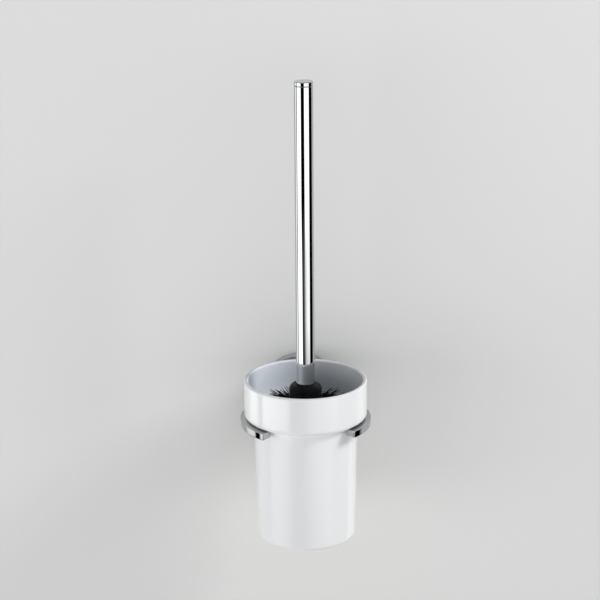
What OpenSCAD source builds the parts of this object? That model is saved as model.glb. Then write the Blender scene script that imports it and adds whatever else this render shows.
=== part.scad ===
// Wall-mounted toilet brush set: a chrome rosette, arm and open ring carry a stepped ceramic cup,
// and a brush with a long chrome handle stands in the cup.
// The origin is the middle of the wall plate's back, which is the middle height of the ring.
// +X is to the right, +Y goes into the wall, +Z is up.

/* [Wall fixing] */
// Diameter of the rosette
rosette_d = 66; // [52:1:80]
// How far the rosette stands out from the wall
rosette_depth = 9.5; // [8.5:0.5:16]
// Thickness of the rosette's side wall and face
rosette_wall = 2.5; // [1.8:0.1:3]
// Thickness of the wall plate under the rosette
plate_t = 5; // [4.5:0.1:5.2]
// Distance between the two wall screw holes
screw_spacing = 36; // [28:1:40]
// Diameter of the wall screw holes
screw_hole_d = 4.6; // [3.6:0.1:5.6]
// Diameter of the grub screw that locks the rosette
grub_d = 3; // [2.5:0.5:3]
// Length of the grub screw
grub_l = 4; // [3:0.5:6]

/* [Arm and ring] */
// Diameter of the round arm
arm_d = 12; // [8:0.5:16]
// Free length of the arm between rosette and ring
arm_l = 12; // [8:0.5:40]
// Width of the ring's bar, measured outwards
bar_w = 9; // [8:0.5:14]
// Height of the ring's bar
bar_h = 5.6; // [4:0.2:10]
// Angle of the opening at the front of the ring
opening_deg = 87; // [40:1:100]
// Diameter of the silicone pads in the ring's top
pad_d = 3; // [2:0.5:4]
// How far the pads stand out of the ring
pad_proud = 0.4; // [0.2:0.1:1]

/* [Cup] */
// Diameter of the cup's body, just below its collar
body_d = 86.7; // [70:0.5:120]
// How much narrower the body is at its foot
body_taper = 3.9; // [0:0.1:8]
// How far the collar stands out over the body
collar_out = 7.85; // [7:0.05:12]
// Height of the collar
collar_h = 32.7; // [20:0.1:60]
// Height of the body below the collar
body_h = 105.8; // [85:0.1:160]
// Thickness of the ceramic
cup_wall = 3.6; // [3.5:0.1:6]
// Rounding of the foot's outer edge
foot_round = 4; // [1:0.5:8]
// Width of the unglazed ring that the foot stands on
foot_ring_w = 4; // [3:0.5:8]
// How far the foot is hollowed inside that ring
foot_hollow = 1.2; // [0.5:0.1:2]

/* [Brush head] */
// Diameter of the moulded core
core_d = 22; // [20:0.5:26]
// Diameter of the hub on top of the core
hub_d = 27; // [24:0.5:32]
// Height of the hub
hub_h = 14; // [10:1:24]
// Rounding of the hub's shoulder
hub_round = 4.5; // [1:0.5:5]
// Height of the hub's top above the tips of the lowest bristles
head_h = 130.3; // [110:0.1:160]
// Number of tufts in each row
row_tufts = 12; // [8:1:13]
// Number of tufts in the end row
end_tufts = 8; // [6:1:9]
// Diameter of a tuft at its root
tuft_root_d = 2.6; // [1.6:0.1:2.8]
// Diameter of a tuft at its tip
tuft_tip_d = 6; // [4:0.5:6.5]

/* [Handle] */
// Outer diameter of the handle tube
tube_d = 15.4; // [14.6:0.1:22]
// Thickness of the tube's wall
tube_wall = 1.2; // [0.8:0.1:1.5]
// Length of the handle tube
tube_l = 248.9; // [120:0.1:420]
// Height of the cap's side above the groove
cap_h = 3.2; // [2.4:0.1:10]
// Height of the groove under the cap
cap_groove = 0.5; // [0.3:0.1:1]
// Diameter of the threaded stud
stud_d = 8; // [6:0.5:9]
// Length of the stud that goes up into the handle
stud_up = 14; // [10:1:18]
// Length of the stud that is moulded into the head
stud_down = 18; // [12:1:20]
// Thickness of the sealing washer
washer_t = 1; // [0.6:0.1:2]

/* [Clearances] */
// Gap between the ring and the cup's body
ring_gap = 2.15; // [1:0.05:4]
// Gap between the pads and the collar that hangs on them
rest_gap = 0.1; // [0.1:0.05:0.4]
// Gap between the lowest bristles and the cup's floor
floor_gap = 0.3; // [0.2:0.05:1]
// Gap between the bristles and the cup's wall, at the cup's foot
bristle_gap = 1.2; // [1:0.1:4]
// Gap between the rosette and the plate inside it
plate_gap = 0.2; // [0.1:0.05:0.4]
// Gap between the rosette's edge and the wall
wall_gap = 0.2; // [0.1:0.05:0.5]
// Gap around a screw, stud, arm or tuft in its hole
hole_gap = 0.05; // [0.03:0.01:0.1]

/* [Hidden] */
$fn = 64;
ARC_STEPS = 8;
SIDE_ROWS = 11;

// Colours
CHROME = [0.78, 0.79, 0.81];
STEEL = [0.62, 0.63, 0.65];
BRASS = [0.78, 0.63, 0.35];
CERAMIC = [0.95, 0.95, 0.94];
BLACK = [0.09, 0.09, 0.10];
RUBBER = [0.16, 0.16, 0.17];
CLEAR = [0.85, 0.88, 0.90];

// Rosette and wall plate
rosette_r = rosette_d / 2;
rosette_inner_r = rosette_r - rosette_wall;
plate_r = rosette_inner_r - plate_gap;
plate_edge = 0.5;
grub_y = -plate_t / 2;
grub_outer_z = -(rosette_r - 0.5);
grub_inner_z = grub_outer_z + grub_l;
grub_key_d = grub_d / 2;
grub_key_depth = 1.5;

// Cup, its heights measured from the ring
pad_top_z = bar_h / 2 + pad_proud;
collar_z = pad_top_z + rest_gap;
rim_z = collar_z + collar_h;
foot_z = collar_z - body_h;
body_r = body_d / 2;
foot_r = body_r - body_taper / 2;
collar_r = body_r + collar_out;
collar_round = 4;
collar_corner = 1;
rim_round = cup_wall * 0.45;
floor_z = foot_z + cup_wall;
floor_round = 5;
foot_hollow_r = foot_r - foot_round - foot_ring_w;
inner_foot_r = foot_r - cup_wall;
inner_body_r = body_r - cup_wall;
inner_collar_r = collar_r - cup_wall;

// Ring and arm
ring_inner_r = body_r + ring_gap;
ring_outer_r = ring_inner_r + bar_w;
cup_y = -(rosette_depth + arm_l + ring_outer_r);
bar_edge = 0.4;
arm_flange_lip = 3;
arm_flange_d = arm_d + 2 * arm_flange_lip;
arm_flange_t = 1.2;
arm_tongue_l = arm_l * 0.6;
pad_depth = 1;
pad_margin = 0.2;
pad_at_r = ring_inner_r + pad_d / 2 + pad_margin;
pad_angles = [-30, 90, 210];

// Brush, its heights measured from the lowest bristle tips
tips_z = floor_z + floor_gap;
hub_top_z = tips_z + head_h;
core_r = core_d / 2;
hub_r = hub_d / 2;
core_top = head_h - hub_h;
hub_edge = 0.6;
hub_cone_h = 1.5;
first_row_drop = 6.7;
first_row = core_top - first_row_drop;
last_row = 19;
last_row_rise = 9;
row_pitch = (first_row - last_row) / (SIDE_ROWS - 1);
core_end = last_row - last_row_rise;
core_end_round = 4;
root_depth = 4;
root_proud = 1;
root_r = tuft_root_d / 2;
tip_r = tuft_tip_d / 2;
lower_reach = inner_foot_r - bristle_gap;
upper_reach = inner_body_r - bristle_gap;
end_angle = -42;
end_root_r = core_r - core_end_round * (1 - cos(end_angle));
end_root = core_end + core_end_round * (1 + sin(end_angle));

// Tilt of each tuft row, upwards from level: the first rows flare up and the last ones down
function row_tilt(i) =
    i == 1 ? 20 : i == 2 ? 15 : i == 3 ? 10 : i == 4 ? 4 :
    i == SIDE_ROWS ? -20 : i == SIDE_ROWS - 1 ? -8 : 0;
function row_height(i) = first_row - (i - 1) * row_pitch;
function row_reach(i) = (i <= 3 ? upper_reach : lower_reach) - tip_r * abs(sin(row_tilt(i)));
function row_turn(i) = (i % 2) * 180 / row_tufts;

// Handle
tube_r = tube_d / 2;
tube_bore_r = tube_r - tube_wall;
stud_r = stud_d / 2;
tube_z = hub_top_z + washer_t;
washer_inset = 0.3;
tube_top_z = tube_z + tube_l;
bush_solid_l = 8;
bush_l = stud_up + bush_solid_l;
spigot_r = tube_bore_r - hole_gap;
spigot_l = 12;
o_ring_r = 0.75;
o_ring_drop = 7;
cap_round = 0.7;
cap_dome = 0.25;

// Points on an arc around (cx, cy) from angle a0 to angle a1
function arc(cx, cy, r, a0, a1) =
    [for (i = [0:ARC_STEPS]) let (a = a0 + (a1 - a0) * i / ARC_STEPS) [cx + r * cos(a), cy + r * sin(a)]];

// A disc around the Y axis, from the wall plane outwards
module wall_disc(r, t, edge = 0) {
    rotate([90, 0, 0]) {
        cylinder(r = r, h = t - edge);
        if (edge > 0) translate([0, 0, t - edge]) cylinder(r1 = r, r2 = r - edge, h = edge);
    }
}

module at_cup() {
    translate([0, cup_y, 0]) children();
}

module wall_plate() {
    color(STEEL) difference() {
        wall_disc(plate_r, plate_t, plate_edge);
        for (side = [-1, 1]) translate([side * screw_spacing / 2, 1, 0])
            wall_disc(screw_hole_d / 2, plate_t + 2);
        translate([0, grub_y, -plate_r - 1])
            cylinder(r = grub_d / 2 + hole_gap, h = plate_r + 1 + grub_inner_z);
    }
}

module rosette() {
    edge = 0.8;
    inner_depth = rosette_depth - rosette_wall;
    color(CHROME) difference() {
        translate([0, -wall_gap, 0]) rotate([90, 0, 0]) rotate_extrude() polygon(concat(
            [[0, 0], [rosette_r, 0]],
            arc(rosette_r - edge, rosette_depth - wall_gap - edge, edge, 0, 90),
            [[0, rosette_depth - wall_gap]]
        ));
        translate([0, 1, 0]) wall_disc(rosette_inner_r, inner_depth + 1);
        wall_disc(arm_d / 2 + hole_gap, rosette_depth + 1);
        translate([0, grub_y, -rosette_r - 1]) cylinder(r = grub_d / 2 + hole_gap, h = rosette_wall + 2);
    }
}

// The arm's flange bears on the inside of the rosette's face, and its tongue is coped to the ring
module arm() {
    inner_y = -(rosette_depth - rosette_wall);
    tongue_y = cup_y + ring_outer_r + arm_tongue_l;
    color(CHROME) difference() {
        union() {
            translate([0, inner_y, 0]) wall_disc(arm_d / 2, -cup_y + inner_y - ring_outer_r + bar_w / 2);
            translate([0, inner_y + arm_flange_t, 0]) wall_disc(arm_flange_d / 2, arm_flange_t);
        }
        for (side = [0, 1]) mirror([0, 0, side])
            translate([-arm_d, tongue_y - 2 * arm_d, bar_h / 2]) cube([2 * arm_d, 2 * arm_d, arm_d]);
        at_cup() cylinder(r = ring_outer_r, h = 2 * arm_d, center = true);
    }
}

module holder_ring() {
    start = -90 + opening_deg / 2;
    color(CHROME) at_cup() difference() {
        rotate([0, 0, start]) rotate_extrude(angle = 360 - opening_deg) polygon([
            [ring_inner_r, -bar_h / 2 + bar_edge], [ring_inner_r + bar_edge, -bar_h / 2],
            [ring_outer_r - bar_edge, -bar_h / 2], [ring_outer_r, -bar_h / 2 + bar_edge],
            [ring_outer_r, bar_h / 2 - bar_edge], [ring_outer_r - bar_edge, bar_h / 2],
            [ring_inner_r + bar_edge, bar_h / 2], [ring_inner_r, bar_h / 2 - bar_edge]
        ]);
        for (a = pad_angles) rotate([0, 0, a]) translate([pad_at_r, 0, bar_h / 2 - pad_depth])
            cylinder(d = pad_d, h = pad_depth + 1);
    }
}

module grub_screw() {
    color(STEEL) translate([0, grub_y, grub_outer_z]) difference() {
        cylinder(d = grub_d, h = grub_l);
        translate([0, 0, -1]) cylinder(d = grub_key_d, h = grub_key_depth + 1, $fn = 6);
    }
}

module ring_pads() {
    color(CLEAR) at_cup() for (a = pad_angles) rotate([0, 0, a])
        translate([pad_at_r, 0, bar_h / 2 - pad_depth]) cylinder(d = pad_d, h = pad_depth + pad_proud);
}

// One wall thickness all over: the inside follows the step of the outside
module cup() {
    shoulder_z = collar_z + cup_wall;
    color(CERAMIC) at_cup() rotate_extrude($fn = 128) polygon(concat(
        [[0, foot_z + foot_hollow], [foot_hollow_r - foot_hollow, foot_z + foot_hollow]],
        [[foot_hollow_r, foot_z]],
        arc(foot_r - foot_round, foot_z + foot_round, foot_round, -90, 0),
        arc(body_r + collar_corner, collar_z - collar_corner, collar_corner, 180, 90),
        arc(collar_r - collar_round, collar_z + collar_round, collar_round, -90, 0),
        arc(collar_r - rim_round, rim_z - rim_round, rim_round, 0, 90),
        arc(inner_collar_r + rim_round, rim_z - rim_round, rim_round, 90, 180),
        arc(inner_collar_r - collar_round, shoulder_z + collar_round, collar_round, 0, -90),
        arc(inner_body_r + collar_corner, shoulder_z - collar_corner, collar_corner, 90, 180),
        arc(inner_foot_r - floor_round, floor_z + floor_round, floor_round, 0, -90),
        [[0, floor_z]]
    ));
}

// Places its children at the root of each tuft of a row, with +Z along the tuft
module at_roots(count, root_at_r, height, tilt, turn) {
    translate([0, cup_y, tips_z + height]) for (k = [0:count - 1]) rotate([0, 0, turn + k * 360 / count])
        translate([root_at_r, 0, 0]) rotate([0, 90 - tilt, 0]) children();
}

module tuft(length) {
    translate([0, 0, -root_depth]) cylinder(r = root_r, h = root_depth + root_proud);
    translate([0, 0, root_proud]) cylinder(r1 = root_r, r2 = tip_r, h = length - root_proud);
}

module tuft_hole() {
    translate([0, 0, -root_depth]) cylinder(r = root_r + hole_gap, h = root_depth + core_r);
}

module tuft_row(i) {
    tilt = row_tilt(i);
    length = (row_reach(i) - core_r) / cos(tilt);
    color(BLACK) at_roots(row_tufts, core_r, row_height(i), tilt, row_turn(i)) tuft(length);
}

module end_tuft_ring() {
    length = (end_root - tip_r * cos(end_angle)) / sin(-end_angle);
    color(BLACK) at_roots(end_tufts, end_root_r, end_root, end_angle, 0) tuft(length);
}

module head_core() {
    color(BLACK) difference() {
        translate([0, cup_y, tips_z]) rotate_extrude() polygon(concat(
            [[0, core_end]],
            arc(core_r - core_end_round, core_end + core_end_round, core_end_round, -90, 0),
            [[core_r, core_top - hub_cone_h], [hub_r - hub_edge, core_top], [hub_r, core_top + hub_edge]],
            arc(hub_r - hub_round, head_h - hub_round, hub_round, 0, 90),
            [[0, head_h]]
        ));
        for (i = [1:SIDE_ROWS])
            at_roots(row_tufts, core_r, row_height(i), row_tilt(i), row_turn(i)) tuft_hole();
        at_roots(end_tufts, end_root_r, end_root, end_angle, 0) tuft_hole();
        translate([0, cup_y, hub_top_z - stud_down]) cylinder(r = stud_r, h = stud_down + 1);
    }
}

module head_stud() {
    tip = 0.8;
    color(STEEL) translate([0, cup_y, hub_top_z - stud_down]) {
        cylinder(r = stud_r, h = stud_down + stud_up - tip);
        translate([0, 0, stud_down + stud_up - tip]) cylinder(r1 = stud_r, r2 = stud_r - tip, h = tip);
    }
}

module sealing_washer() {
    color(RUBBER) translate([0, cup_y, hub_top_z]) difference() {
        cylinder(r = tube_r - washer_inset, h = washer_t);
        translate([0, 0, -1]) cylinder(r = stud_r + hole_gap, h = washer_t + 2);
    }
}

module handle_tube() {
    color(CHROME) translate([0, cup_y, tube_z]) difference() {
        cylinder(r = tube_r, h = tube_l);
        translate([0, 0, -1]) cylinder(r = tube_bore_r, h = tube_l + 2);
    }
}

module handle_bush() {
    color(BRASS) translate([0, cup_y, tube_z]) difference() {
        cylinder(r = tube_bore_r, h = bush_l);
        translate([0, 0, -1]) cylinder(r = stud_r + hole_gap, h = bush_l + 2);
    }
}

// The cap stands on a flange a little narrower than the tube, which leaves the thin groove
module handle_cap() {
    neck_r = tube_r - 0.4;
    cap_z = cap_groove;
    lower_edge = 0.2;
    spigot_edge = 0.5;
    dome_start = 84;
    color(CHROME) translate([0, cup_y, tube_top_z]) difference() {
        rotate_extrude() polygon(concat(
            [[0, -spigot_l], [spigot_r - spigot_edge, -spigot_l]],
            [[spigot_r, -spigot_l + spigot_edge], [spigot_r, 0]],
            [[neck_r, 0], [neck_r, cap_z], [tube_r - lower_edge, cap_z], [tube_r, cap_z + lower_edge]],
            arc(tube_r - cap_round, cap_z + cap_h - cap_round, cap_round, 0, dome_start),
            [for (i = [1:ARC_STEPS]) let (u = 1 - i / ARC_STEPS)
                [(tube_r - cap_round) * u, cap_z + cap_h + cap_dome * (1 - u * u)]]
        ));
        translate([0, 0, -o_ring_drop - o_ring_r]) difference() {
            cylinder(r = tube_r, h = 2 * o_ring_r);
            translate([0, 0, -1]) cylinder(r = tube_bore_r - 2 * o_ring_r, h = 2 * o_ring_r + 2);
        }
    }
}

module cap_o_ring() {
    color(RUBBER) translate([0, cup_y, tube_top_z - o_ring_drop])
        rotate_extrude() translate([tube_bore_r - o_ring_r, 0]) circle(r = o_ring_r);
}

wall_plate();
rosette();
arm();
holder_ring();
grub_screw();
ring_pads();
cup();
head_core();
head_stud();
tuft_row(1);  // tuft_row_01
tuft_row(2);  // tuft_row_02
tuft_row(3);  // tuft_row_03
tuft_row(4);  // tuft_row_04
tuft_row(5);  // tuft_row_05
tuft_row(6);  // tuft_row_06
tuft_row(7);  // tuft_row_07
tuft_row(8);  // tuft_row_08
tuft_row(9);  // tuft_row_09
tuft_row(10);  // tuft_row_10
tuft_row(11);  // tuft_row_11
end_tuft_ring();  // end_tufts
sealing_washer();
handle_tube();
handle_bush();
handle_cap();
cap_o_ring();
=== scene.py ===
"""Wall-mounted toilet brush set: the looks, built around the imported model."""

import math

import bmesh
import bpy
import numpy as np
from mathutils import Matrix, Vector


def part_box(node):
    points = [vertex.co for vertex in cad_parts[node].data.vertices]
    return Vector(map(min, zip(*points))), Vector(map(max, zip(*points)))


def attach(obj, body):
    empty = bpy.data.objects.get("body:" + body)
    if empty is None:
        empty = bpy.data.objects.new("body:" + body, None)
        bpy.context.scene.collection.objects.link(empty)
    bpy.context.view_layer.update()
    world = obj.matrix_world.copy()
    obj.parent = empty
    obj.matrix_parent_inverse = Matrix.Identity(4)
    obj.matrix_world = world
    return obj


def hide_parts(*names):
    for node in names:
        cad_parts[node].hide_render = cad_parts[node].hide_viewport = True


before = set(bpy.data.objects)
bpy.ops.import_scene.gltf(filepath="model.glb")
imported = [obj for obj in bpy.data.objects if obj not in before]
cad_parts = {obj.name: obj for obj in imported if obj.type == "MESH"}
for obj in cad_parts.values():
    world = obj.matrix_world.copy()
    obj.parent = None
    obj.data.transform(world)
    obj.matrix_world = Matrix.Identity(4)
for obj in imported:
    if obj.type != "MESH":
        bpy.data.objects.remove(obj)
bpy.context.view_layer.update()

bl_info = {
    "name": "Toilet brush set",
    "version": (1, 0, 0),
    "blender": (4, 5, 0),
    "location": "3D View > Sidebar > Brush set",
    "description": "Builds a wall-mounted toilet brush set: rosette, open ring, ceramic cup and brush",
    "category": "Add Mesh",
}

MM = 0.001
TAU = 2 * math.pi

# Rows of tufts from the hub down, each with its tilt in degrees, and the tilt of the tufts at the end.
ROWS = [f"tuft_row_{i:02d}" for i in range(1, 12)]
ROW_TILTS = [20, 15, 10, 4, 0, 0, 0, 0, 0, -8, -20]
END_TILT = -42


# Places taken from the frame -------------------------------------------------------------------

def half_width(node):
    low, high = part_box(node)
    return (high.x - low.x) / 2


def middle(node):
    low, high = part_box(node)
    return (low + high) / 2


def low_z(node):
    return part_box(node)[0].z


def high_z(node):
    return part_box(node)[1].z


# The pitch comes from two level rows, because the box of a tilted row isn't centred on its roots.
CUP_Y = middle("handle_tube").y
TUBE_R = half_width("handle_tube")
COLLAR_R = half_width("cup")
RING_R = half_width("holder_ring")
HUB_R = half_width("head_core")
ROSETTE_R = half_width("rosette")
RING_HALF_H = high_z("holder_ring")
ROW_PITCH = (middle("tuft_row_05").z - middle("tuft_row_09").z) / 4
FIRST_ROW_Z = middle("tuft_row_05").z + 4 * ROW_PITCH


# Settings ---------------------------------------------------------------------------------------

class CupSettings(bpy.types.PropertyGroup):
    wall: bpy.props.FloatProperty(
        name="Wall", description="Thickness of the ceramic",
        default=3.6 * MM, unit="LENGTH", precision=4)
    body_radius: bpy.props.FloatProperty(
        name="Body radius", description="Radius of the body just below the collar",
        default=43.35 * MM, unit="LENGTH", precision=4)
    foot_radius: bpy.props.FloatProperty(
        name="Foot radius", description="Radius of the body at its foot",
        default=41.4 * MM, unit="LENGTH", precision=4)
    glaze: bpy.props.FloatVectorProperty(
        name="Glaze", description="Colour of the glaze", subtype="COLOR", size=3,
        default=(0.80, 0.80, 0.80))
    # Painted sky light: the bluish tint painted on the left of the collar's inside, in place of cool
    # light from above.
    inside: bpy.props.FloatVectorProperty(
        name="Inside", description="Colour of the thick glaze inside the collar", subtype="COLOR", size=3,
        default=(0.84, 0.885, 0.95))
    # Also used for the warm grey tint along the top of the rim.
    bare: bpy.props.FloatVectorProperty(
        name="Bare ceramic", description="Colour of the foot ring and of the thin glaze at the rim",
        subtype="COLOR", size=3, default=(0.70, 0.67, 0.62))


class MetalSettings(bpy.types.PropertyGroup):
    chrome: bpy.props.FloatVectorProperty(
        name="Chrome", description="Colour of the chrome plate", subtype="COLOR", size=3,
        default=(0.54, 0.55, 0.56))
    # Painted shade: a darker copy of the chrome for the ring alone, in place of the dark reflections and
    # shade on the ring.
    shaded_ring_chrome: bpy.props.FloatVectorProperty(
        name="Ring chrome", description="Colour of the ring's chrome plate", subtype="COLOR", size=3,
        default=(0.50, 0.51, 0.52))
    steel: bpy.props.FloatVectorProperty(
        name="Steel", description="Colour of the plain steel", subtype="COLOR", size=3,
        default=(0.56, 0.57, 0.59))
    brass: bpy.props.FloatVectorProperty(
        name="Brass", description="Colour of the threaded bush", subtype="COLOR", size=3,
        default=(0.71, 0.53, 0.24))
    edge: bpy.props.FloatProperty(
        name="Edge rounding", description="Rounding of the ring's edges", default=0.45 * MM,
        unit="LENGTH", precision=4)


class BrushSettings(bpy.types.PropertyGroup):
    core_radius: bpy.props.FloatProperty(
        name="Core radius", description="Radius of the moulded core", default=11 * MM,
        unit="LENGTH", precision=4)
    per_tuft: bpy.props.IntProperty(
        name="Bristles in a tuft", description="Number of bristles in each tuft",
        default=64, min=4, max=80)
    thickness: bpy.props.FloatProperty(
        name="Bristle thickness", description="Diameter of one bristle",
        default=0.65 * MM, unit="LENGTH", precision=5)
    spread: bpy.props.FloatProperty(
        name="Spread", description="How far the bristles of a tuft lean apart",
        default=math.radians(22), subtype="ANGLE")
    seed: bpy.props.IntProperty(
        name="Seed", description="Start of the random lean of the bristles", default=7)
    plastic: bpy.props.FloatVectorProperty(
        name="Plastic", description="Colour of the moulded head", subtype="COLOR", size=3,
        default=(0.006, 0.006, 0.0065))
    nylon: bpy.props.FloatVectorProperty(
        name="Bristles", description="Colour of the bristles", subtype="COLOR", size=3,
        default=(0.003, 0.003, 0.0035))


class StudioSettings(bpy.types.PropertyGroup):
    camera_place: bpy.props.FloatVectorProperty(
        name="Camera", description="Place of the camera", subtype="TRANSLATION", size=3,
        default=(-0.095, -1.5255, 0.555))
    camera_turn: bpy.props.FloatProperty(
        name="Turn", description="Turn of the camera to the right", subtype="ANGLE",
        default=math.radians(3.592))
    camera_tilt: bpy.props.FloatProperty(
        name="Tilt", description="Tilt of the camera, negative is down", subtype="ANGLE",
        default=math.radians(-17.244))
    camera_roll: bpy.props.FloatProperty(
        name="Roll", description="Roll of the camera about its own line of sight", subtype="ANGLE",
        default=math.radians(-0.438))
    lens: bpy.props.FloatProperty(
        name="Lens", description="Focal length on a 36 mm sensor, in millimetres",
        default=111.4, unit="CAMERA")
    wall: bpy.props.FloatVectorProperty(
        name="Wall", description="Colour of the wall", subtype="COLOR", size=3,
        default=(0.70, 0.695, 0.68))
    floor: bpy.props.FloatVectorProperty(
        name="Floor", description="Colour of the floor", subtype="COLOR", size=3,
        default=(0.58, 0.58, 0.57))
    key_power: bpy.props.FloatProperty(
        name="Key light", description="Power of the soft light from the right",
        default=27.5, unit="POWER")
    fill_power: bpy.props.FloatProperty(
        name="Fill light", description="Power of the soft light from the left",
        default=12.0, unit="POWER")


class BrushSetSettings(bpy.types.PropertyGroup):
    cup: bpy.props.PointerProperty(
        type=CupSettings, name="Cup", description="Sizes and colours of the cup")
    metal: bpy.props.PointerProperty(
        type=MetalSettings, name="Metal", description="Finish of the metal pieces")
    brush: bpy.props.PointerProperty(
        type=BrushSettings, name="Brush", description="The brush head")
    studio: bpy.props.PointerProperty(
        type=StudioSettings, name="Studio", description="Camera, wall and lights")


# Surfaces ---------------------------------------------------------------------------------------

def surface(name, points, close_rows=False, cap_ends=False):
    """A grid of points [row, column] becomes a skin of quads. The columns always close on
    themselves. The rows close too for a torus-like shape, or else the end rows are capped or
    shrink to a point."""
    rows, columns = points.shape[:2]
    index = np.arange(rows * columns).reshape(rows, columns)
    if close_rows:
        index = np.vstack([index, index[:1]])
    index = np.hstack([index, index[:, :1]])
    corners = [index[:-1, :-1], index[:-1, 1:], index[1:, 1:], index[1:, :-1]]
    quads = np.stack(corners, axis=-1).reshape(-1, 4)
    ends = [index[0, :-1][::-1].tolist(), index[-1, :-1].tolist()] if cap_ends else []
    mesh = bpy.data.meshes.new(name)
    mesh.from_pydata(points.reshape(-1, 3).tolist(), [], quads.tolist() + ends)
    return finished(name, mesh)


def finished(name, mesh, weld=1e-7):
    """Welds points closer than `weld`, which closes seams and poles. Turns the faces so that the
    volume they enclose is positive, shades them smooth and adds the piece to the scene."""
    work = bmesh.new()
    work.from_mesh(mesh)
    if weld:
        bmesh.ops.remove_doubles(work, verts=work.verts, dist=weld)
        bmesh.ops.dissolve_degenerate(work, edges=work.edges, dist=weld)
    if work.calc_volume(signed=True) < 0:
        bmesh.ops.reverse_faces(work, faces=work.faces)
    work.to_mesh(mesh)
    work.free()
    mesh.shade_smooth()
    return added(name, mesh)


def added(name, data):
    """Adds a mesh, a light or a camera to the scene as an object."""
    made = bpy.data.objects.new(name, data)
    bpy.context.scene.collection.objects.link(made)
    return made


def pierced(piece, cutter):
    """Cuts the cutter's shape out of the piece for good and keeps the cut's edges sharp."""
    cut = piece.modifiers.new("cut", "BOOLEAN")
    cut.object = cutter
    bpy.context.view_layer.update()
    cut_piece = piece.evaluated_get(bpy.context.evaluated_depsgraph_get())
    piece.data = bpy.data.meshes.new_from_object(cut_piece)
    piece.modifiers.clear()
    piece.data.set_sharp_from_angle(angle=math.radians(40))
    bpy.data.objects.remove(cutter)
    return piece


def unit(vectors):
    """Vectors scaled to a length of one, along the array's last axis."""
    return vectors / np.linalg.norm(vectors, axis=-1, keepdims=True)


def rounded_line(corners, closed=False, steps=8, support=0.12 * MM):
    """Straight lines between the corners (x, y, radius). At each corner an arc of its radius touches
    both lines: its centre lies on the bisector at radius / sin(half angle), and its ends lie at
    radius / tan(half angle) from the corner. A point just beyond each end keeps the straight flat."""
    places = [np.array(corner[:2], float) for corner in corners]
    count = len(places)
    line = []
    for i, (place, corner) in enumerate(zip(places, corners)):
        at_end = not closed and i in (0, count - 1)
        if at_end or corner[2] == 0:
            line.append(place[None, :])
            continue
        before = unit(places[i - 1] - place)
        after = unit(places[(i + 1) % count] - place)
        half = math.acos(float(np.clip(before @ after, -1, 1))) / 2
        cut = corner[2] / math.tan(half)
        centre = place + unit(before + after) * corner[2] / math.sin(half)
        sweep = math.pi - 2 * half
        t = np.linspace(0, 1, steps + 1)[:, None]
        first = place + before * cut - centre
        last = place + after * cut - centre
        arc = centre + (np.sin((1 - t) * sweep) * first + np.sin(t * sweep) * last) / math.sin(sweep)
        line.append(np.vstack([place + before * (cut + support), arc, place + after * (cut + support)]))
    return np.vstack(line)


def lathe(name, line, segments, about="z", closed=False):
    """Turns a line of (radius, height) a full turn: its points lie at radius * cos(turn) and
    radius * sin(turn) from the axis. That is the cup's axis, or with about="y" the rosette's, where
    height is the distance from the wall. A closed line makes a ring, an open one starts and ends
    on the axis."""
    turn = np.linspace(0, TAU, segments, endpoint=False)
    radius, height = line[:, :1], line[:, 1:] + 0 * turn
    across, along = radius * np.cos(turn), radius * np.sin(turn)
    if about == "z":
        points = np.stack([across, CUP_Y + along, height], axis=-1)
    else:
        points = np.stack([across, -height, along], axis=-1)
    return surface(name, points, close_rows=closed)


# Materials --------------------------------------------------------------------------------------

class Signal:
    """A node's output socket, on which arithmetic adds Math nodes."""

    def __init__(self, graph, socket):
        self.graph = graph
        self.socket = socket

    def _with(self, operation, first, second):
        return self.graph.node("ShaderNodeMath", {"operation": operation}, {0: first, 1: second})

    def __add__(self, other):
        return self._with("ADD", self, other)

    def __radd__(self, other):
        return self._with("ADD", other, self)

    def __sub__(self, other):
        return self._with("SUBTRACT", self, other)

    def __rsub__(self, other):
        return self._with("SUBTRACT", other, self)

    def __mul__(self, other):
        return self._with("MULTIPLY", self, other)

    def __rmul__(self, other):
        return self._with("MULTIPLY", other, self)

    def __pow__(self, other):
        return self._with("POWER", self, other)


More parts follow.
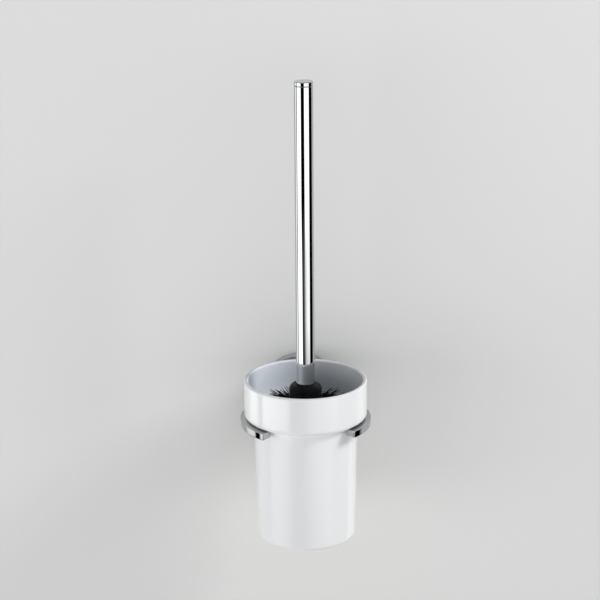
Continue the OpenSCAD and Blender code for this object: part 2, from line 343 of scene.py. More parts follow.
class Graph:
    """A node tree that is filled one node at a time."""

    def __init__(self, tree):
        self.tree = tree
        tree.nodes.clear()

    def node(self, kind, options=None, inputs=None, output=0):
        """Adds a node: its options first, then the values or links of its sockets. Returns one
        output as a Signal."""
        made = self.tree.nodes.new(kind)
        for key, value in (options or {}).items():
            setattr(made, key, value)
        for key, value in (inputs or {}).items():
            if isinstance(value, Signal):
                self.tree.links.new(value.socket, made.inputs[key])
            else:
                made.inputs[key].default_value = value
        return Signal(self, made.outputs[output]) if made.outputs else None

    def coordinates(self, kind="Object"):
        """The shaded point in the object's coordinates, or in another kind."""
        return self.node("ShaderNodeTexCoord", output=kind)

    def axes(self, vector):
        """The x, y and z of a vector."""
        return [self.node("ShaderNodeSeparateXYZ", {}, {"Vector": vector}, output=axis) for axis in "XYZ"]

    def noise(self, scale, detail, stretch=(1, 1, 1)):
        """Noise from 0 to 1 with about `scale` blobs to the metre, more along a stretched axis."""
        place = self.node("ShaderNodeMapping", {}, {"Vector": self.coordinates(), "Scale": stretch})
        return self.node("ShaderNodeTexNoise", {}, {"Vector": place, "Scale": scale, "Detail": detail})

    def ramp(self, signal, low, high, to_low=0.0, to_high=1.0):
        """Smooth step of a signal from low to high."""
        return self.node("ShaderNodeMapRange", {"interpolation_type": "SMOOTHSTEP"}, {
            "Value": signal, "From Min": low, "From Max": high, "To Min": to_low, "To Max": to_high})

    def band(self, signal, first, last, soft):
        """One where a signal lies between first and last and zero elsewhere, with soft edges."""
        start = self.ramp(signal, first - soft, first + soft)
        end = self.ramp(signal, last - soft, last + soft, 1, 0)
        return start * end

    def blend(self, factor, first, second):
        """Mixes two colours."""
        inputs = {0: factor, 6: first, 7: second}
        return self.node("ShaderNodeMix", {"data_type": "RGBA"}, inputs, output=2)

    def bump(self, height, distance, strength, under=None):
        """A normal for small relief, on top of the relief under it if there is any."""
        inputs = {"Height": height, "Distance": distance, "Strength": strength}
        if under:
            inputs["Normal"] = under
        return self.node("ShaderNodeBump", {}, inputs)

    def principled(self, inputs):
        """The whole material is one Principled BSDF."""
        shader = self.node("ShaderNodeBsdfPrincipled", {}, inputs)
        self.node("ShaderNodeOutputMaterial", {}, {"Surface": shader})


def rgba(colour, gain=1.0):
    """A colour times a gain, as a shader socket takes it."""
    return (*[channel * gain for channel in colour], 1.0)


def new_material(name):
    material = bpy.data.materials.new(name)
    material.use_nodes = True
    return material, Graph(material.node_tree)


def chrome_plate(name, colour, stretch=(1, 1, 1)):
    """Polished chrome: a mirror with the faintest wipe marks in its gloss."""
    material, graph = new_material(name)
    wipes = graph.noise(90, 3, stretch)
    film = graph.ramp(graph.noise(14, 2), 0.35, 0.7)
    graph.principled({
        "Base Color": graph.blend(film, rgba(colour), rgba(colour, 0.95)),
        "Metallic": 1.0,
        "Roughness": 0.02 + 0.025 * film + 0.02 * wipes,
        "Normal": graph.bump(graph.noise(60, 1, stretch), 0.004 * MM, 0.25),
    })
    return material


def glaze(name, cup):
    """White glaze over ceramic: clear gloss that flows a little, with painted bluish sky light inside the
    collar's left side and a warm grey tint along the top of the rim; it stops at the ring the foot stands
    on."""
    material, graph = new_material(name)
    x, y, height = graph.axes(graph.coordinates())
    depth = y - CUP_Y
    radius = (x * x + depth * depth) ** 0.5
    foot_z, rim_z, shoulder_z = low_z("cup"), high_z("cup"), RING_HALF_H + 4 * MM
    cloud = graph.ramp(graph.noise(9, 3), 0.3, 0.7)
    flow = graph.noise(38, 2, (1, 1, 0.6))
    wobble = graph.noise(300, 2)
    inner_collar_mask = graph.ramp(radius, COLLAR_R - 3 * MM, COLLAR_R - 1.5 * MM, 1.0, 0.0)
    inner_collar_mask = inner_collar_mask * graph.ramp(height, shoulder_z, shoulder_z + 5 * MM)
    # Painted sky light and shade: inside the collar the glaze turns bluish towards the left (cup.inside)
    # and a touch darker towards the right.
    left = graph.ramp(x, 20 * MM, -30 * MM)
    foot_edge = height + wobble * 0.6 * MM
    foot = graph.ramp(foot_edge, foot_z + 0.5 * MM, foot_z + 0.9 * MM, 1.0, 0.0)
    # A warm grey tint along the top half millimetre of the rim.
    lip_edge = height + wobble * 0.3 * MM
    lip = graph.ramp(lip_edge, rim_z - 0.5 * MM, rim_z - 0.1 * MM, 0.0, 0.3)
    white = graph.blend(cloud, rgba(cup.glaze), rgba(cup.glaze, 0.975))
    thick = graph.blend(left, rgba(cup.glaze, 0.98), rgba(cup.inside))
    white = graph.blend(inner_collar_mask, white, thick)
    white = graph.blend(lip, white, rgba(cup.bare))
    graph.principled({
        "Base Color": graph.blend(foot, white, rgba(cup.bare)),
        "Roughness": 0.3 + 0.4 * foot + 0.05 * cloud,
        "Coat Weight": (1 - foot) * (1 - 0.4 * inner_collar_mask),
        "Coat Roughness": 0.06,
        "Normal": graph.bump(wobble, 0.01 * MM, 0.2, graph.bump(flow, 0.2 * MM, 0.3)),
    })
    return material


def moulded_plastic(name, colour):
    """Black moulded plastic with a fine spark-eroded grain."""
    material, graph = new_material(name)
    grain = graph.noise(2600, 2)
    wear = graph.ramp(graph.noise(120, 3), 0.45, 0.75)
    graph.principled({
        "Base Color": graph.blend(wear, rgba(colour), rgba(colour, 1.6)),
        "Roughness": 0.42 + 0.08 * wear + 0.06 * grain,
        "Specular IOR Level": 0.14,
        "Normal": graph.bump(grain, 0.03 * MM, 0.4),
    })
    return material


def nylon(name, colour):
    """Black nylon: each bristle has its own shade and gloss."""
    material, graph = new_material(name)
    shade = graph.node("ShaderNodeAttribute", {"attribute_name": "shade"}, {}, output="Fac")
    graph.principled({
        "Base Color": graph.blend(shade, rgba(colour, 0.7), rgba(colour, 2.4)),
        "Roughness": 0.3 + 0.16 * shade,
        "Specular IOR Level": 0.1,
    })
    return material


def brushed_metal(name, colour, stretch, roughness):
    """Steel or brass with fine parallel tool marks."""
    material, graph = new_material(name)
    marks = graph.noise(900, 3, stretch)
    stain = graph.ramp(graph.noise(60, 2), 0.4, 0.75)
    graph.principled({
        "Base Color": graph.blend(stain, rgba(colour), rgba(colour, 0.82)),
        "Metallic": 1.0,
        "Roughness": roughness - 0.06 + 0.16 * marks + 0.06 * stain,
        "Normal": graph.bump(marks, 0.03 * MM, 0.5),
    })
    return material


def black_rubber(name):
    """Dull black rubber with a little dust in its skin."""
    material, graph = new_material(name)
    dust = graph.ramp(graph.noise(700, 3), 0.5, 0.8)
    graph.principled({
        "Base Color": graph.blend(dust, (0.018, 0.018, 0.018, 1), (0.05, 0.05, 0.05, 1)),
        "Roughness": 0.55 + 0.2 * dust,
        "Normal": graph.bump(dust, 0.02 * MM, 0.4),
    })
    return material


def clear_silicone(name):
    """Hazy see-through silicone."""
    material, graph = new_material(name)
    haze = graph.noise(800, 2)
    graph.principled({
        "Base Color": graph.blend(haze, (0.80, 0.83, 0.85, 1), (0.88, 0.90, 0.92, 1)),
        "Roughness": 0.25 + 0.2 * haze,
        "Transmission Weight": 0.6,
        "IOR": 1.41,
    })
    return material


def paint(name, colour):
    """Matt wall or floor of the studio, seen from its front only."""
    material, graph = new_material(name)
    tone = graph.noise(3, 3)
    skin = graph.node("ShaderNodeBsdfPrincipled", {}, {
        "Base Color": graph.blend(tone, rgba(colour), rgba(colour, 0.985)),
        "Roughness": 0.75 + 0.1 * tone,
        "Specular IOR Level": 0.15,
    })
    back = graph.node("ShaderNodeNewGeometry", output="Backfacing")
    clear = graph.node("ShaderNodeBsdfTransparent")
    both = graph.node("ShaderNodeMixShader", {}, {0: back, 1: skin, 2: clear})
    graph.node("ShaderNodeOutputMaterial", {}, {"Surface": both})
    return material


def dress(piece, material):
    """Gives a new piece its one material."""
    piece.data.materials.clear()
    piece.data.materials.append(material)


def dress_node(node, material):
    """Gives a CAD node a better material and keeps its mesh."""
    for material_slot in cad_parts[node].material_slots:
        material_slot.material = material


def stand_for(piece, body, slot, material, *nodes):
    """The piece moves with a body, takes the given material and is shown in place of CAD nodes. The slot
    is not used.
    """
    dress(piece, material)
    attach(piece, body)
    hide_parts(*nodes)


def settings():
    return bpy.context.scene.brush_set


# Pieces -----------------------------------------------------------------------------------------

class BRUSHSET_OT_wall_mount(bpy.types.Operator):
    """Rosette, arm, wall plate and grub screw"""

    bl_idname = "brushset.wall_mount"
    bl_label = "Wall mount"

    def execute(self, context):
        metal = settings().metal
        chrome = chrome_plate("rosette_chrome", metal.chrome)
        steel = brushed_metal("wall_plate_steel", metal.steel, (1, 1, 0.02), 0.3)
        stand_for(self.rosette(), "holder", "chrome", chrome, "rosette")
        stand_for(self.arm(), "holder", "chrome", chrome, "arm")
        dress_node("wall_plate", steel)
        dress_node("grub_screw", steel)
        return {"FINISHED"}

    def rosette(self):
        """A cap with an even wall: a closed line turned about the rosette's axis. The grub screw's
        hole is drilled up through its lowest side."""
        gap = -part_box("rosette")[1].y
        depth = -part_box("rosette")[0].y
        wall = ROSETTE_R - half_width("wall_plate") - 0.2 * MM
        inner = depth - wall
        bore = self.arm_radius() + 0.05 * MM
        line = rounded_line([
            (ROSETTE_R, gap, 0.2 * MM), (ROSETTE_R, depth, 0.9 * MM), (bore, depth, 0.15 * MM),
            (bore, inner, 0), (ROSETTE_R - wall, inner, 0.4 * MM), (ROSETTE_R - wall, gap, 0.15 * MM),
        ], closed=True)
        cover = lathe("rosette_cover", line, 256, about="y", closed=True)
        drill_r = half_width("grub_screw") + 0.15 * MM
        turn = np.linspace(0, TAU, 32, endpoint=False)
        z = np.array([-ROSETTE_R - wall, -ROSETTE_R + 1.5 * wall])[:, None] + 0 * turn
        x = drill_r * np.cos(turn) + 0 * z
        y = middle("grub_screw").y + drill_r * np.sin(turn) + 0 * z
        return pierced(cover, surface("drill", np.stack([x, y, z], axis=-1), cap_ends=True))

    def arm_radius(self):
        """The bar's radius. The arm's box is as high as its flange, which stands out by a lip."""
        flange_lip = 3 * MM
        return high_z("arm") - flange_lip

    def arm(self):
        """A round bar along the wall's normal. At its shoulder it is cut flat above and below, down
        to the ring's height: half height = ring's + (bar's radius - ring's) * share. The end follows
        the ring's outside: y = ring centre + sqrt(ring radius squared - x squared)."""
        radius = self.arm_radius()
        tongue_length = 7.2 * MM
        shoulder = CUP_Y + RING_R + tongue_length
        # Millimetres from the shoulder towards the wall, and the share at that place.
        steps = np.array([
            (1.4, 1), (1.1, 0.96), (0.8, 0.8), (0.35, 0.2), (0.15, 0.04), (-0.1, 0), (-0.6, 0)])
        share = np.concatenate([[1], steps[:, 1], [0]])
        high = (RING_HALF_H + (radius - RING_HALF_H) * share)[:, None]
        turn = np.linspace(0, TAU, 96, endpoint=False)
        x = radius * np.cos(turn)
        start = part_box("arm")[1].y + 0 * turn
        end = CUP_Y + np.sqrt((RING_R - 0.15 * MM) ** 2 - x ** 2)
        y = np.vstack([start, shoulder + steps[:, :1] * MM + 0 * turn, end])
        z = np.clip(radius * np.sin(turn), -high, high)
        return surface("arm_bar", np.stack([x + 0 * y, y, z], axis=-1), cap_ends=True)


class BRUSHSET_OT_ring(bpy.types.Operator):
    """Open ring that carries the cup, with its pads"""

    bl_idname = "brushset.ring"
    bl_label = "Ring"

    def execute(self, context):
        metal = settings().metal
        # Painted shade: the ring gets the darker copy of the chrome.
        chrome = chrome_plate("shaded_ring_chrome", metal.shaded_ring_chrome)
        stand_for(self.ring(metal.edge), "holder", "chrome", chrome, "holder_ring")
        dress_node("ring_pads", clear_silicone("pad_silicone"))
        return {"FINISHED"}

    def ring(self, edge):
        """A rounded rectangle carried along an arc. Towards each end it shrinks by edge * (1 - sin a)
        at a distance of edge * (1 - cos a), which rolls the end face's edges over."""
        width = 9 * MM
        middle_r = RING_R - width / 2
        opening = math.acos((CUP_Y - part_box("holder_ring")[0].y) / RING_R)
        a = np.linspace(0, math.pi / 2, 7)
        shrink = edge * (1 - np.sin(a))
        roll = edge * (1 - np.cos(a)) / middle_r
        body = np.linspace(0, 1, 161)[1:-1]
        first, last = -math.pi / 2 + opening, 1.5 * math.pi - opening
        body_turns = first + roll[-1] + (last - first - 2 * roll[-1]) * body
        turns = np.concatenate([first + roll, body_turns, last - roll[::-1]])[:, None]
        shrinks = np.concatenate([shrink, 0 * body, shrink[::-1]])
        sections = np.array([
            self.section(width / 2 - s, RING_HALF_H - s, edge - s, edge) for s in shrinks])
        radius, z = middle_r + sections[:, :, 0], sections[:, :, 1]
        points = np.stack([radius * np.cos(turns), CUP_Y + radius * np.sin(turns), z], axis=-1)
        return surface("cup_ring", points, cap_ends=True)

    def section(self, across, up, rounding, edge):
        """A rounded rectangle as a closed line. Its rounding never gets to zero, so that it always
        has the same number of points."""
        r = max(rounding, 0.02 * edge)
        corners = [(-across, -up, r), (across, -up, r), (across, up, r), (-across, up, r)]
        return rounded_line(corners, closed=True, steps=5, support=0.1 * MM)


class BRUSHSET_OT_cup(bpy.types.Operator):
    """Ceramic cup"""

    bl_idname = "brushset.cup"
    bl_label = "Cup"

    def execute(self, context):
        cup = settings().cup
        stand_for(self.cup(cup), "cup", "glaze", glaze("white_glaze", cup), "cup")
        return {"FINISHED"}

    def cup(self, cup):
        """One line of even wall thickness, up the outside and down the inside, turned about the axis."""
        pad_gap = 0.5 * MM
        foot_z, rim_z = low_z("cup"), high_z("cup")
        collar_z = RING_HALF_H + pad_gap
        floor_z, shoulder_z = foot_z + cup.wall, collar_z + cup.wall
        foot_ring, hollow = 8 * MM, 1.2 * MM
        hollow_r = cup.foot_radius - foot_ring
        rim = 0.45 * cup.wall
        line = rounded_line([
            (0, foot_z + hollow, 0),
            (hollow_r - hollow, foot_z + hollow, 0.6 * MM),
            (hollow_r, foot_z, 0.3 * MM),
            (cup.foot_radius, foot_z, 4 * MM),
            (cup.body_radius, collar_z, 1 * MM),
            (COLLAR_R, collar_z, 4 * MM),
            (COLLAR_R, rim_z, rim),
            (COLLAR_R - cup.wall, rim_z, rim),
            (COLLAR_R - cup.wall, shoulder_z, 4 * MM),
            (cup.body_radius - cup.wall, shoulder_z, 1 * MM),
            (cup.foot_radius - cup.wall, floor_z, 5 * MM),
            (0, floor_z, 0),
        ], steps=10, support=0.3 * MM)
        return lathe("ceramic_cup", line, 256)


class BRUSHSET_OT_head(bpy.types.Operator):
    """Moulded head with its threaded stud"""

    bl_idname = "brushset.head"
    bl_label = "Brush head"

    def execute(self, context):
        brush = settings().brush
        plastic = moulded_plastic("head_black", brush.plastic)
        stand_for(self.core(brush.core_radius), "brush_head", "head_plastic", plastic, "head_core")
        steel = brushed_metal("stud_steel", settings().metal.steel, (1, 1, 6), 0.22)
        stand_for(self.stud(), "brush_head", "steel", steel, "head_stud")
        return {"FINISHED"}

    def core(self, radius):
        """A round core with a wider hub on top: one line turned about the axis."""
        hub_height, slope = 14 * MM, 1.5 * MM
        end, top = low_z("head_core"), high_z("head_core")
        step = top - hub_height
        line = rounded_line([
            (0, end, 0), (radius, end, 4 * MM), (radius, step - slope, 0.8 * MM),
            (HUB_R, step, 0.6 * MM), (HUB_R, top, 4.5 * MM), (0, top, 0),
        ])
        return lathe("head_moulding", line, 128)

    def stud(self):
        """A screw thread: its radius falls by depth * |2 * saw - 1|, where the saw is the fraction of
        height / pitch - turn / full turn, and it runs out at both ends."""
        radius, pitch, depth = half_width("head_stud"), 1.25 * MM, 0.65 * MM
        low, high = low_z("head_stud"), high_z("head_stud")
        turn = np.linspace(0, TAU, 48, endpoint=False)
        height = np.linspace(low, high, 257)[:, None]
        wave = np.abs(((height - low) / pitch - turn / TAU) % 1 * 2 - 1)
        fade = np.clip(np.minimum(height - low, high - height) / pitch, 0, 1)
        r = radius - depth * (1 - fade * (1 - wave))
        points = np.stack([r * np.cos(turn), CUP_Y + r * np.sin(turn), height + 0 * turn], axis=-1)
        return surface("threaded_stud", points, cap_ends=True)


class BRUSHSET_OT_bristles(bpy.types.Operator):
    """Bristles of all tuft rows"""

    bl_idname = "brushset.bristles"
    bl_label = "Bristles"

    def execute(self, context):
        brush = settings().brush
        material = nylon("bristle_nylon", brush.nylon)
        rng = np.random.default_rng(brush.seed)
        for i, node in enumerate(ROWS):
            root_z = FIRST_ROW_Z - i * ROW_PITCH
            tilt = math.radians(ROW_TILTS[i])
            turn = math.pi / 12 if i % 2 == 0 else 0.0
            length = (half_width(node) - brush.core_radius) / math.cos(tilt)
            tufts = self.tufts(brush, 12, turn)
            bristles = self.row(brush, rng, tufts, brush.core_radius, root_z, tilt, length)
            piece = rods(node.replace("tuft_row", "bristle_row"), bristles, rng)
            stand_for(piece, "brush_head", "bristle", material, node)
        rounding, length = 4 * MM, 14 * MM
        tilt = math.radians(END_TILT)
        root_r = brush.core_radius - rounding * (1 - math.cos(tilt))
        root_z = low_z("head_core") + rounding * (1 + math.sin(tilt))
        tufts = self.tufts(brush, 8, 0.0)
        bristles = self.row(brush, rng, tufts, root_r, root_z, tilt, length)
        piece = rods("bristle_end", bristles, rng)
        stand_for(piece, "brush_head", "bristle", material, "end_tufts")
        return {"FINISHED"}

    def tufts(self, brush, count, turn):
        """The angle about the axis of each bristle in a row of evenly spaced tufts."""
        return turn + TAU * np.repeat(np.arange(count), brush.per_tuft) / count

    def row(self, brush, rng, around, root_r, root_z, tilt, length):
        """Every bristle is a four-sided rod along root + length * (direction * s + bend * s squared),
        for s from 0 to 1. Its direction is the tuft's, leaned by a random angle and then kept from
        rising too steeply. The result has the axes [bristle, ring, corner]."""
        count = len(around)
        tuft_r, root_depth = 1.05 * MM, 2 * MM
        spin = rng.uniform(0, TAU, count)
        rank = rng.uniform(0, 1, count) ** 0.7
        lean = brush.spread * rank * rng.uniform(0.6, 1.5, count)
        out = np.stack([np.cos(around), np.sin(around), 0 * around], axis=-1)
        side = np.stack([-np.sin(around), np.cos(around), 0 * around], axis=-1)
        up = np.array([0, 0, 1.0])
        axis = out * math.cos(tilt) + up * math.sin(tilt)
        over = up * math.cos(tilt) - out * math.sin(tilt)
        across = side * np.cos(spin)[:, None] + over * np.sin(spin)[:, None]
        heading = axis * np.cos(lean)[:, None] + across * np.sin(lean)[:, None]
        steep = rng.uniform(0.6, 1.9, count)
        heading = self.flattened(heading, around, steep)
        root = out * root_r + up * root_z - axis * root_depth + across * (tuft_r * rank)[:, None]
        length = length * rng.uniform(0.6, 1.02, count) * (1.15 - 0.25 * steep) + root_depth
        bend = across * rng.normal(0, 0.05, count)[:, None] + side * rng.normal(0, 0.05, count)[:, None]
        s = np.linspace(0, 1, 6)
        length = length[:, None]
        path = (root[:, None] + heading[:, None] * (length * s)[:, :, None]
                + bend[:, None] * (length * s ** 2)[:, :, None])
        path = self.inside_cup(path)
        thick = brush.thickness / 2 * (1 - 0.35 * s ** 3)
        first = unit(np.cross(heading, up + 0.01 * out))
        second = np.cross(heading, first)
        corner = (TAU * np.arange(4) / 4)[:, None]
        ring = first[:, None] * np.cos(corner) + second[:, None] * np.sin(corner)
        points = path[:, :, None] + ring[:, None] * thick[:, None, None]
        return points + np.array([0, CUP_Y, 0])

    def flattened(self, heading, around, steep):
        """Limits how steeply each bristle rises: z becomes limit * tanh(z / limit). The limit is
        lower for the bristles that point towards the wall."""
        limit = (0.425 - 0.175 * np.sin(around)) * steep
        rise = heading[:, 2]
        heading[:, 2] = np.where(rise > 0, limit * np.tanh(rise / limit), rise)
        return unit(heading)

    def inside_cup(self, path):
        """Brings points that would leave the cup back along the radius to its wall, and lifts those
        that would go through its floor."""
        cup = settings().cup
        clearance, floor_z = 0.6 * MM, low_z("end_tufts") + 0.2 * MM
        foot_z, collar_z = low_z("cup"), RING_HALF_H
        share = np.clip((path[..., 2] - foot_z) / (collar_z - foot_z), 0, 1)
        wall = cup.foot_radius + (cup.body_radius - cup.foot_radius) * share - cup.wall - clearance
        radius = np.hypot(path[..., 0], path[..., 1])
        keep = np.minimum(1, wall / np.maximum(radius, 1e-6))
        path[..., 0] *= keep
        path[..., 1] *= keep
        path[..., 2] = np.maximum(path[..., 2], floor_z)
        return path


def rods(name, points, rng):
    """Points [rod, ring, corner] become closed rods, each with one random shade."""
    count, rings, corners = points.shape[:3]
    index = np.arange(count * rings * corners).reshape(count, rings, corners)
    after = np.roll(index, -1, axis=2)
    sides = np.stack([index[:, :-1], after[:, :-1], after[:, 1:], index[:, 1:]], axis=-1).reshape(-1, 4)
    ends = np.vstack([index[:, 0, ::-1], index[:, -1]])
    mesh = bpy.data.meshes.new(name)
    mesh.from_pydata(points.reshape(-1, 3).tolist(), [], np.vstack([sides, ends]).tolist())
    shade = mesh.attributes.new("shade", "FLOAT", "POINT")
    shade.data.foreach_set("value", np.repeat(rng.uniform(0, 1, count) ** 2, rings * corners))
    return finished(name, mesh, weld=0)


class BRUSHSET_OT_handle(bpy.types.Operator):
    """Chrome tube with its cap, bush and seals"""

    bl_idname = "brushset.handle"
    bl_label = "Handle"

    def execute(self, context):
        metal = settings().metal
        chrome = chrome_plate("handle_chrome", metal.chrome, (1, 1, 0.15))
        stand_for(self.tube(), "handle", "handle_chrome", chrome, "handle_tube")
        stand_for(self.cap(), "handle", "handle_chrome", chrome, "handle_cap")
        dress_node("handle_bush", brushed_metal("bush_brass", metal.brass, (1, 1, 8), 0.25))
        rubber = black_rubber("seal_rubber")
        dress_node("sealing_washer", rubber)
        dress_node("cap_o_ring", rubber)
        return {"FINISHED"}

    def tube(self):
        """A tube with an even wall and lightly broken edges: a closed line turned about the axis."""
        wall, edge = 1.2 * MM, 0.2 * MM
        low, high, inner = low_z("handle_tube"), high_z("handle_tube"), TUBE_R - wall
        corners = [(TUBE_R, low, edge), (TUBE_R, high, edge), (inner, high, edge), (inner, low, edge)]
        return lathe("tube", rounded_line(corners, closed=True, steps=4), 256, closed=True)

    def cap(self):
        """One line turned about the axis: a spigot, a narrow neck that leaves the groove, and a low
        dome with a rounded edge."""
        groove, dome, flat = 0.5 * MM, 0.25 * MM, 0.15 * MM
        spigot, neck, crown = TUBE_R - 1.25 * MM, TUBE_R - 0.4 * MM, TUBE_R - 2.4 * MM
        end, joint, top = low_z("handle_cap"), high_z("handle_tube"), high_z("handle_cap")
        side = top - dome
        line = rounded_line([
            (0, end, 0), (spigot, end, 0.5 * MM), (spigot, joint, 0), (neck, joint, 0),
            (neck, joint + groove, 0), (TUBE_R, joint + groove, 0.2 * MM),
            (TUBE_R, side, 0.6 * MM), (crown, side + flat, 1.5 * MM), (0, top, 0),
        ], support=0.05 * MM)
        return lathe("cap", line, 192)


class BRUSHSET_OT_studio(bpy.types.Operator):
    """Wall, floor, lights and camera"""

    bl_idname = "brushset.studio"
    bl_label = "Studio"

    def execute(self, context):
        studio = settings().studio
        self.backdrop(studio)
        self.surroundings(context.scene)
        self.lamp("key_light", place=(1.65, -0.55, 1.25), target=(0, CUP_Y, 0.05),
                  size=0.7, power=studio.key_power)
        self.lamp("fill_light", place=(-1.5, -0.9, -0.35), target=(0, CUP_Y, -0.02),
                  size=1.5, power=studio.fill_power)
        self.camera(context.scene, studio)
        context.scene.view_settings.view_transform = "Standard"
        return {"FINISHED"}

    def backdrop(self, studio):
        """A wall in seven pieces, of which metal mirrors only those near the set, and a floor that
        neither lights the set nor shows in its metal."""
        wall_paint = paint("wall_paint", studio.wall)
        back, near, side, ground, top = 0.5 * MM, 0.05, 3, -0.55, 2.5
        left, right = -0.16, 0.3
        walls = [self.holed(back, near)]
        for name, x0, x1, z0, z1 in (
                ("wall_far_left", -side, left, ground, top),
                ("wall_far_right", right, side, ground, top),
                ("wall_under", left, right, ground, -near),
                ("wall_over", left, right, near, top),
                ("wall_near_left", left, -near, -near, near),
                ("wall_near_right", near, right, -near, near)):
            walls.append(plane(name, [(x0, back, z0), (x1, back, z0), (x1, back, z1), (x0, back, z1)]))
        for wall in walls:
            wall.visible_glossy = "far" not in wall.name
            dress(wall, wall_paint)
        front, behind = -4, 3
        corners = [(-side, front), (side, front), (side, behind), (-side, behind)]
        floor = plane("studio_floor", [(x, y, ground) for x, y in corners])
        dress(floor, paint("floor_paint", studio.floor))
        floor.visible_glossy = False
        floor.visible_diffuse = False

    def holed(self, back, near):
        """A square of wall with a round hole behind the rosette, so that light reaches its back. Each
        ray from the middle runs from the hole's radius to half side / the larger of |cos| and |sin|."""
        count = 64
        turn = np.linspace(0, TAU, count, endpoint=False)
        rays = np.stack([np.cos(turn), 0 * turn, np.sin(turn)], axis=-1)
        inner = rays * (ROSETTE_R - 2 * MM)
        outer = rays * near / np.abs(rays).max(axis=1, keepdims=True)
        points = np.vstack([inner, outer]) + np.array([0, back, 0])
        i = np.arange(count)
        after = np.roll(i, -1)
        faces = np.stack([i, i + count, after + count, after], axis=-1)
        return plane("wall_round_the_rosette", points.tolist(), faces.tolist())

    def lamp(self, name, place, target, size, power):
        """A round soft light that points at a target and doesn't show in the metal."""
        data = bpy.data.lights.new(name, "AREA")
        data.shape = "DISK"
        data.size = size
        data.energy = power
        lamp = added(name, data)
        lamp.location = place
        lamp.visible_glossy = False
        lamp.rotation_euler = (Vector(target) - Vector(place)).to_track_quat("-Z", "Y").to_euler()

    def surroundings(self, scene):
        """A world with two parts: a room that metal and glaze mirror, and a glow that only lights
        matt surfaces. Both follow a direction's height z and its turn in degrees, from the front
        of the set towards +X."""
        world = bpy.data.worlds.new("studio")
        world.use_nodes = True
        scene.world = world
        graph = Graph(world.node_tree)
        x, y, z = graph.axes(graph.coordinates("Generated"))
        turn = graph.node("ShaderNodeMath", {"operation": "ARCTAN2"}, {0: x, 1: 0 - y}) * (180 / math.pi)
        diffuse = graph.node("ShaderNodeLightPath", output="Is Diffuse Ray")
        strength = self.room(graph, turn, z) * (1 - diffuse) + self.glow(graph, turn, z) * diffuse
        tint = graph.blend(graph.ramp(z, 0.1, 0.6), (1, 1, 1, 1), (0.66, 0.83, 1.0, 1))
        background = graph.node("ShaderNodeBackground", {}, {"Color": tint, "Strength": strength})
        graph.node("ShaderNodeOutputWorld", {}, {"Surface": background})

    def room(self, graph, turn, z):
        """Three soft boxes and three dark screens in a pale room with a dim ceiling. Well below the
        horizon the left box is a little wider and the right box fades in over a wide angle."""
        walls_level, horizon_level, ceiling_level = 0.5, 0.42, 0.22
        left_level, right_level, right_low_level, rear_level = 1.9, 1.75, 1.5, 1.5
        low = graph.ramp(z, -0.24, -0.29)
        lower_edge = graph.ramp(z, -0.380, -0.350)
        left_box = graph.ramp(turn, -93, -89) * graph.ramp(turn - 6 * low, -41, -37, 1, 0)
        left_box = left_box * lower_edge * left_level
        right_high = graph.ramp(turn, 0, 4, 0.0, right_level) * (1 - low)
        right_low = graph.ramp(turn, -28, 48, 0.0, right_low_level) * low
        right_box = (right_high + right_low) * graph.ramp(turn, 57, 61, 1, 0)
        right_box = right_box * graph.ramp(z, -0.36, -0.30)
        rear_box = graph.ramp(turn, -150, -112) * graph.ramp(turn, -107, -101, 1, 0)
        rear_box = rear_box * lower_edge * rear_level
        screens = graph.band(turn, -103, -92, 1.5) + graph.band(turn, -39, 2, 2)
        screens = screens + graph.band(turn, 59, 108, 3)
        walls = walls_level * (1 - screens) * graph.ramp(z, -0.5, -0.3, 0.5, 1.0)
        level = walls + left_box + right_box + rear_box
        horizon = graph.ramp(z, -0.15, -0.05)
        level = level * (1 - 0.5 * horizon) + horizon_level * horizon
        ceiling = graph.ramp(z, 0.05, 0.25)
        return level * (1 - ceiling) + ceiling_level * ceiling

    def glow(self, graph, turn, z):
        """Light from all round, stronger from the left and weaker from above and below."""
        sides = 1.42 + 0.15 * graph.band(turn, 60, 115, 20) + 0.65 * graph.band(turn, -125, -60, 15)
        return sides * graph.ramp(z, -0.05, 0.4, 1.0, 0.17) * graph.ramp(z, -0.6, -0.25, 0.4, 1.0)

    def camera(self, scene, studio):
        """Looks along +Y, tilted, then turned to the right, then rolled about its own sight line."""
        data = bpy.data.cameras.new("camera")
        data.lens = studio.lens
        data.sensor_width = 36
        data.clip_start = 0.02
        data.clip_end = 50
        camera = added("camera", data)
        turn = Matrix.Rotation(-studio.camera_turn, 4, "Z")
        tilt = Matrix.Rotation(math.pi / 2 + studio.camera_tilt, 4, "X")
        roll = Matrix.Rotation(studio.camera_roll, 4, "Z")
        camera.matrix_world = Matrix.Translation(studio.camera_place) @ turn @ tilt @ roll
        scene.camera = camera


def plane(name, corners, faces=((0, 1, 2, 3),)):
    """A flat sheet in the scene: one quad, or faces between more points."""
    mesh = bpy.data.meshes.new(name)
    mesh.from_pydata(corners, [], faces)
    return added(name, mesh)


OPERATORS = (
    BRUSHSET_OT_wall_mount, BRUSHSET_OT_ring, BRUSHSET_OT_cup, BRUSHSET_OT_head, BRUSHSET_OT_bristles,
    BRUSHSET_OT_handle, BRUSHSET_OT_studio,
)


class BRUSHSET_PT_panel(bpy.types.Panel):
    """Lists the pieces of the brush set and their settings"""

    bl_idname = "BRUSHSET_PT_panel"
    bl_label = "Brush set"
    bl_space_type = "VIEW_3D"
    bl_region_type = "UI"
    bl_category = "Brush set"

    def draw(self, context):
        layout = self.layout
        for operator in OPERATORS:
            layout.operator(operator.bl_idname)
        for group in ("cup", "metal", "brush", "studio"):
            values = getattr(context.scene.brush_set, group)
            box = layout.box()
            box.label(text=group.capitalize())
            for name in values.__annotations__:
                box.prop(values, name)


CLASSES = (
    CupSettings, MetalSettings, BrushSettings, StudioSettings, BrushSetSettings,
    *OPERATORS, BRUSHSET_PT_panel,
)


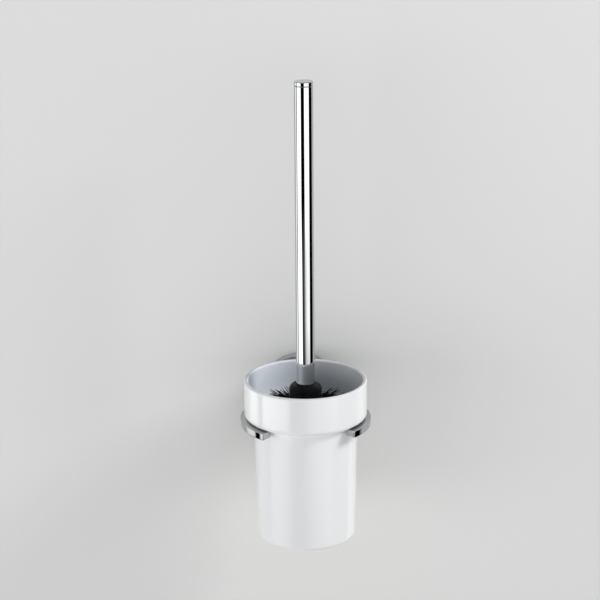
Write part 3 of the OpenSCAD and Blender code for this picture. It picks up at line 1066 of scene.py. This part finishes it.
def register():
    for cls in CLASSES:
        bpy.utils.register_class(cls)
    bpy.types.Scene.brush_set = bpy.props.PointerProperty(type=BrushSetSettings)


def unregister():
    del bpy.types.Scene.brush_set
    for cls in reversed(CLASSES):
        bpy.utils.unregister_class(cls)


def main():
    register()
    for operator in OPERATORS:
        group, name = operator.bl_idname.split(".")
        getattr(getattr(bpy.ops, group), name)()


if __name__ == "__main__":
    main()
